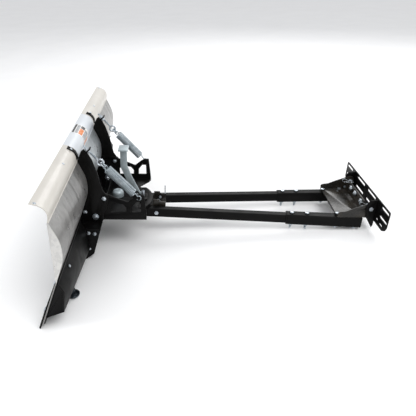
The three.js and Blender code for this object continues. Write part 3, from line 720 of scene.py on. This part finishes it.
def blade():
    moldboard()
    sticker()
    crease_lap()
    blade_hardware()
    eye_bolts()
    skid_shoes()
    softened("wear_bar", 1.0, BLACK)
    softened("lower_channel_center", 1.6, BLACK)
    for end, side in SIDES:
        softened(f"end_plate_{end}", 0.4, END_STEEL)
        softened(f"lower_channel_{end}", 1.6, BLACK)
        softened(f"rib_{end}", 0.6, BLACK)
        softened(f"rib_foot_{end}", 1.3, BLACK)
        softened(f"anchor_strap_{end}", 0.6, BLACK)
        outer = side * (RIB_Y + 3)
        inner = side * (SIDE_Y - 3)
        bolt(f"stop_bolt_{end}_hex", in_plane(STOP, outer), in_plane(STOP, inner), FRAME_BOLT, 16,
             "blade", f"stop_bolt_{end}")
        weld(f"lug_weld_{end}", (-57.5, side * 190.8, 322), (-44, side * 190.8, 313), 1.5, "blade")


# ---- Cradle ----
def coil_springs():
    """Close-wound springs with a hook at each end, stretched between the side plate and the ring."""
    rear, front = Vector(SPRING_HOOK), Vector(SPRING_EYE)
    way = (front - rear).normalized()
    cross = Vector((-way.y, way.x))
    wire, mean, turns, start, end_of_coil = 2.1, 15.6, 26, 30, 168
    for end, side in SIDES:
        def at(s, out, sideways):
            spot = rear + way * s + cross * out
            return (spot.x, side * (RIB_Y + sideways), spot.y)

        path = [at(8.4 * math.cos(math.radians(a)), 8.4 * math.sin(math.radians(a)), 0)
                for a in range(80, 361, 12)] + [at(13, -3, 0), at(20, -3.5, 0)]
        lead = 12
        for i in range(lead):
            t = (i + 1) / lead
            angle = math.radians(-90 + 90 * t)
            radius = 3.5 + (mean - 3.5) * t
            path.append(at(start - 8 + 8 * t, radius * math.sin(angle), radius * math.cos(angle)))
        steps = 24
        for i in range(1, turns * steps + 1):
            angle = 2 * math.pi * i / steps
            s = start + (end_of_coil - start) * i / (turns * steps)
            path.append(at(s, mean * math.sin(angle), mean * math.cos(angle)))
        for i in range(lead):
            t = (i + 1) / lead
            angle = math.radians(90 * t)
            radius = mean + (3.5 - mean) * t
            path.append(at(end_of_coil + 6 * t, radius * math.sin(angle), radius * math.cos(angle)))
        path += [at(179 + 7 * math.cos(math.radians(a)), 7 * math.sin(math.radians(a)), 0)
                 for a in range(140, -150, -15)]
        mesh = wire_mesh(f"trip_spring_{end}_wire", path, wire, sides=3)
        name = f"trip_spring_{end}_coil"
        spring = piece(name, mesh, SPRING, None, (f"trip_spring_{end}",), smooth=60)
        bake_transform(spring)
        centre = rear + way * 191.24
        ring = []
        for i in range(48):
            angle = 2 * math.pi * i / 48
            spot = centre + way * 11 * math.cos(angle)
            ring.append((spot.x, side * RIB_Y + 11 * math.sin(angle), spot.y))
        ring_mesh = wire_mesh(f"spring_ring_{end}", ring, 2.9, cyclic=True)
        piece(f"spring_link_{end}_ring", ring_mesh, ZINC, f"spring_link_{end}", (f"spring_link_{end}",))


def kingpin():
    profile = [(8.3, 9), (9, 10), (12.3, 10), (12.3, 16), (13, 17), (23.2, 17), (23.9, 16), (23.9, 10)]
    dome = [(41.4, 10), (41.4, 23.4), (42, 24)]
    for degrees in range(0, 91, 9):
        a = math.radians(degrees)
        dome.append((57.4 + 14 * math.sin(a), 11 + 13 * math.cos(a)))
    cap = [(72.2, 10.6), (72.2, 6.5), (70.8, 5.5), (70.8, 0.4)]
    points, faces = turned([*profile, *dome, *cap], 64)
    mesh = build("kingpin_turned", points, faces, Matrix.Translation((KINGPIN_X, 0, 0)))
    piece("kingpin_turned", mesh, SATIN, "push_frame", ("kingpin",))


def cradle():
    coil_springs()
    kingpin()
    softened("base_plate", 0.7, BLACK)
    softened("cross_brace", 1.3, BLACK)
    softened("lever_bracket", 0.6, BLACK)
    softened("lock_lever", 0.8, SATIN)
    softened("lock_pin", 0.7, ZINC)
    softened("sector_plate", 0.6, BLACK)
    softened("nose_bracket", 1.0, BLACK_PAINTED_REFLECTION)
    bolt("lever_pivot_bolt_hex", in_plane(LEVER_PIVOT, -10.4), in_plane(LEVER_PIVOT, 10.4), LEVER_BOLT,
         4, "cradle", "lever_pivot_bolt")
    for end, side in SIDES:
        softened(f"side_plate_{end}", 0.6, BLACK)
        outer = side * (RIB_Y + 3)
        inner = side * (SIDE_Y - 3)
        bolt(f"trip_pivot_bolt_{end}_hex", in_plane(PIVOT, outer), in_plane(PIVOT, inner), PIVOT_BOLT,
             20.8, "cradle", f"trip_pivot_bolt_{end}", washer_finish=ZINC)
        rim = side * 175.6
        weld(f"pan_weld_{end}_1", (5, rim, 42.2), (60, rim, 42.2), 1.6, "cradle")
        weld(f"pan_weld_{end}_2", (90, rim, 42.2), (150, rim, 42.2), 1.6, "cradle")


# ---- Frame ----
def arm_turn(side):
    splay = Matrix.Rotation(side * math.atan(ARM_SPLAY), 4, "Z")
    return Matrix.Translation((0, side * ARM_Y, 0)) @ splay


def arm_height(x):
    """The height of a push tube's middle at a place along it."""
    return (ARM_LEVEL_AT - x) * ARM_DROOP


def box_tube(name, half, rise, wall, x0, x1, side, node):
    """A rectangular hollow section with rounded corners, swept along its arm."""
    def ring(across, upright, corner):
        u, v = across - corner, upright - corner
        return [
            point
            for cu, cv, start in ((u, v, 0), (-u, v, 90), (-u, -v, 180), (u, -v, 270))
            for point in arc((cu, cv), corner, start, start + 90, 6)
        ]

    outer, inner = ring(half, rise, 4.0), ring(half - wall, rise - wall, 4.6 - wall)
    count = len(outer)
    rims = [(x0, inner), (x0, outer), (x1, outer), (x1, inner)]
    points = [(x, u, v) for x, rim in rims for u, v in rim]
    faces = []
    for k in range(4):
        a, b = k * count, (k + 1) % 4 * count
        faces += [(a + i, a + (i + 1) % count, b + (i + 1) % count, b + i) for i in range(count)]
    droop = Matrix.Translation((0, 0, arm_height(0))) @ Matrix.Rotation(ARM_DROOP, 4, "Y")
    mesh = build(name, points, faces, arm_turn(side) @ droop)
    piece(name, mesh, BLACK, "push_frame", (node,), smooth=40)


def push_frame():
    for end, side in SIDES:
        turn = arm_turn(side)
        box_tube(f"push_tube_{end}_drawn", 16, TUBE_RISE, 3, 157, 930, side, f"push_tube_{end}")
        box_tube(f"sleeve_tube_{end}_drawn", 19, SLEEVE_RISE, 2.4, 760, 1087, side, f"sleeve_tube_{end}")
        nose = (NOSE_BOLT[0], side * 16, NOSE_BOLT[1])
        inner = (NOSE_BOLT[0], -side * 26.2, NOSE_BOLT[1])
        bolt(f"nose_bolt_{end}_hex", nose, inner, FRAME_BOLT, 12, "push_frame", f"nose_bolt_{end}", turn)
        for i, x in enumerate(SLEEVE_BOLTS_X):
            top, bottom = arm_height(x) + SLEEVE_RISE, arm_height(x) - SLEEVE_RISE
            bolt(f"sleeve_bolt_{end}_{i + 1}_hex", (x, 0, top), (x, 0, bottom), FRAME_BOLT,
                 bottom - SLEEVE_BOLT_END, "push_frame", f"sleeve_bolt_{end}_{i + 1}", turn)
        for i, x in enumerate(BRACKET_BOLTS_X):
            bottom = arm_height(x) - SLEEVE_RISE
            bolt(f"bracket_bolt_{end}_{i + 1}_hex", (x, 0, WEB_TOP), (x, 0, bottom), FRAME_BOLT,
                 bottom - BOLT_END, "push_frame", f"bracket_bolt_{end}_{i + 1}", turn)
        edge = side * 131.3
        seam = WEB_TOP + 1.2
        weld(f"bracket_weld_{end}", (985, edge, seam), (1086, edge, seam), 1.7, "push_frame")
    small_bolt("nose_cheek_bolt", (211, 36.5, 20), (0, -1, 0), 3.6, "push_frame")
    rod = wire_mesh("nose_rod", [(233, 39, 26), (233, 39, 74)], 2.2)
    piece("nose_rod", rod, ZINC, "push_frame")
    small_bolt("cheek_bolt", (1090, 132.5, 33), (0, -1, 0), 4.0, "push_frame")
    softened("rear_bracket", 1.0, BLACK_PAINTED_REFLECTION)
    for i, y in enumerate((52, 0, -74)):
        small_bolt(f"rear_flange_bolt_{i + 1}", (1092, y, 65), (-1, 0, 0), 6.0, "push_frame")


# ---- Mount ----
def mount_plate():
    edge = [(257, 109), (257, 38), (247, 18), (224, 6)]
    outline = [*edge, *[(-y, z) for y, z in reversed(edge)]]
    holes = [
        level_slot((side * y, z), reach, 6)
        for z in (95, 53)
        for _, side in SIDES
        for y, reach in ((64, 41), (216, 30))
    ]
    holes += [level_slot((side * 205, 23), 11, 4.5) for _, side in SIDES]
    holes += [level_slot((side * 162.5, 27), 5.5, 4.5) for _, side in SIDES]
    middle = PLATE_X + PLATE_THICK / 2
    lay = Matrix(((0, 0, 1, middle), (1, 0, 0, 0), (0, 1, 0, 0), (0, 0, 0, 1)))
    corner = filleted([outline[-1], *outline, outline[0]], 6)[1:-1]
    mesh = plate_mesh("mount_plate_pressed", [corner, *holes], PLATE_THICK, lay)
    piece("mount_plate_pressed", mesh, BLACK, "mount", ("mount_plate",))


def mount():
    mount_plate()
    for end, side in SIDES:
        softened(f"mount_ear_{end}", 0.7, BLACK)
        tip, head = 104.2, 150
        pin = [(0, 4.2), (2.29, 6), (41.044, 6), (41.044, 8.3), (41.66, 9), (45.183, 9), (45.8, 8.3)]
        place = along((HITCH[0], side * tip, HITCH[1]), (HITCH[0], side * head, HITCH[1]))
        points, faces = turned(pin, 40)
        mesh = build(f"hitch_{end}", points, faces, place)
        piece(f"hitch_pin_{end}_turned", mesh, ZINC, "push_frame", (f"hitch_pin_{end}",))
        leg = [
            (14, 0), (2, 0), (-10, 0), (-26, 0), (-38, 3), (-42, 11), (-34, 17), (-24, 12), (-13, 7),
            (-5, 8.6), (0, 9.5), (5, 8.4), (9, 6),
        ]
        path = [(HITCH[0] + x, side * 115, HITCH[1] + z) for x, z in spline(leg, 6)]
        clip = wire_mesh(f"clip_{end}", path, 1.5)
        piece(f"hairpin_{end}_wire", clip, ZINC, "push_frame", (f"hairpin_{end}",))
        foot = side * 138.2
        weld(f"ear_weld_{end}", (1132, foot, 5), (1132, foot, 104), 1.6, "mount")


# ---- Studio ----
def studio():
    bpy.ops.mesh.primitive_plane_add(size=60)
    floor = bpy.context.object
    floor.name = "studio_floor"
    floor.data.materials.append(studio_floor())

    world = bpy.data.worlds.new("studio")
    bpy.context.scene.world = world
    world.use_nodes = True
    tree = world.node_tree
    place = tree.nodes.new("ShaderNodeTexCoord")
    height = tree.nodes.new("ShaderNodeSeparateXYZ")
    ramp = tree.nodes.new("ShaderNodeValToRGB")
    ramp.color_ramp.elements[0].position = 0.0
    ramp.color_ramp.elements[0].color = (1.0, 1.0, 1.0, 1)
    ramp.color_ramp.elements[1].position = 0.9
    ramp.color_ramp.elements[1].color = (0.60, 0.61, 0.63, 1)
    tree.links.new(place.outputs["Generated"], height.inputs["Vector"])
    tree.links.new(height.outputs["Z"], ramp.inputs["Fac"])
    tree.links.new(ramp.outputs["Color"], tree.nodes["Background"].inputs["Color"])
    tree.nodes["Background"].inputs["Strength"].default_value = 1.0

    def softbox(name, spot, size, power):
        lamp = bpy.data.lights.new(name, "AREA")
        lamp.shape = "RECTANGLE"
        lamp.size, lamp.size_y = size
        lamp.energy = power
        holder = bpy.data.objects.new(name, lamp)
        holder.location = spot
        holder.rotation_euler = (Vector((0, 0, 0.2)) - Vector(spot)).to_track_quat("-Z", "Y").to_euler()
        bpy.context.scene.collection.objects.link(holder)

    softbox("key", (1.6, -2.2, 3.6), (2.4, 2.4), 95)
    softbox("back", (1.4, 3.4, 3.0), (3.2, 1.6), 75)
    softbox("left", (-3.4, -0.6, 2.2), (1.4, 2.4), 38)
    bpy.context.scene.view_settings.view_transform = "Standard"


def camera():
    """At the photograph's viewing angle, stated in the drawing frame like everything else."""
    azimuth, elevation, roll = -0.0833050, 0.5120604, 0.0481633
    forward = Vector((
        -math.sin(azimuth) * math.cos(elevation),
        math.cos(azimuth) * math.cos(elevation),
        -math.sin(elevation),
    ))
    right = Vector((math.cos(azimuth), math.sin(azimuth), 0))
    up = right.cross(forward)
    rolled_right = right * math.cos(roll) + up * math.sin(roll)
    rolled_up = up * math.cos(roll) - right * math.sin(roll)
    basis = Matrix((rolled_right, rolled_up, -forward)).transposed()
    lens = bpy.data.cameras.new("camera")
    lens.sensor_width = 36
    lens.lens = 39.4
    lens.clip_start, lens.clip_end = 0.05, 100
    view = bpy.data.objects.new("camera", lens)
    bpy.context.scene.collection.objects.link(view)
    turn = Matrix.Rotation(TILT, 3, "Y") @ basis
    view.matrix_world = Matrix.Translation(DRAWING @ Vector((277.07, -1781.01, 987.51))) @ turn.to_4x4()
    bpy.context.scene.camera = view


camera()
studio()
blade()
cradle()
push_frame()
mount()
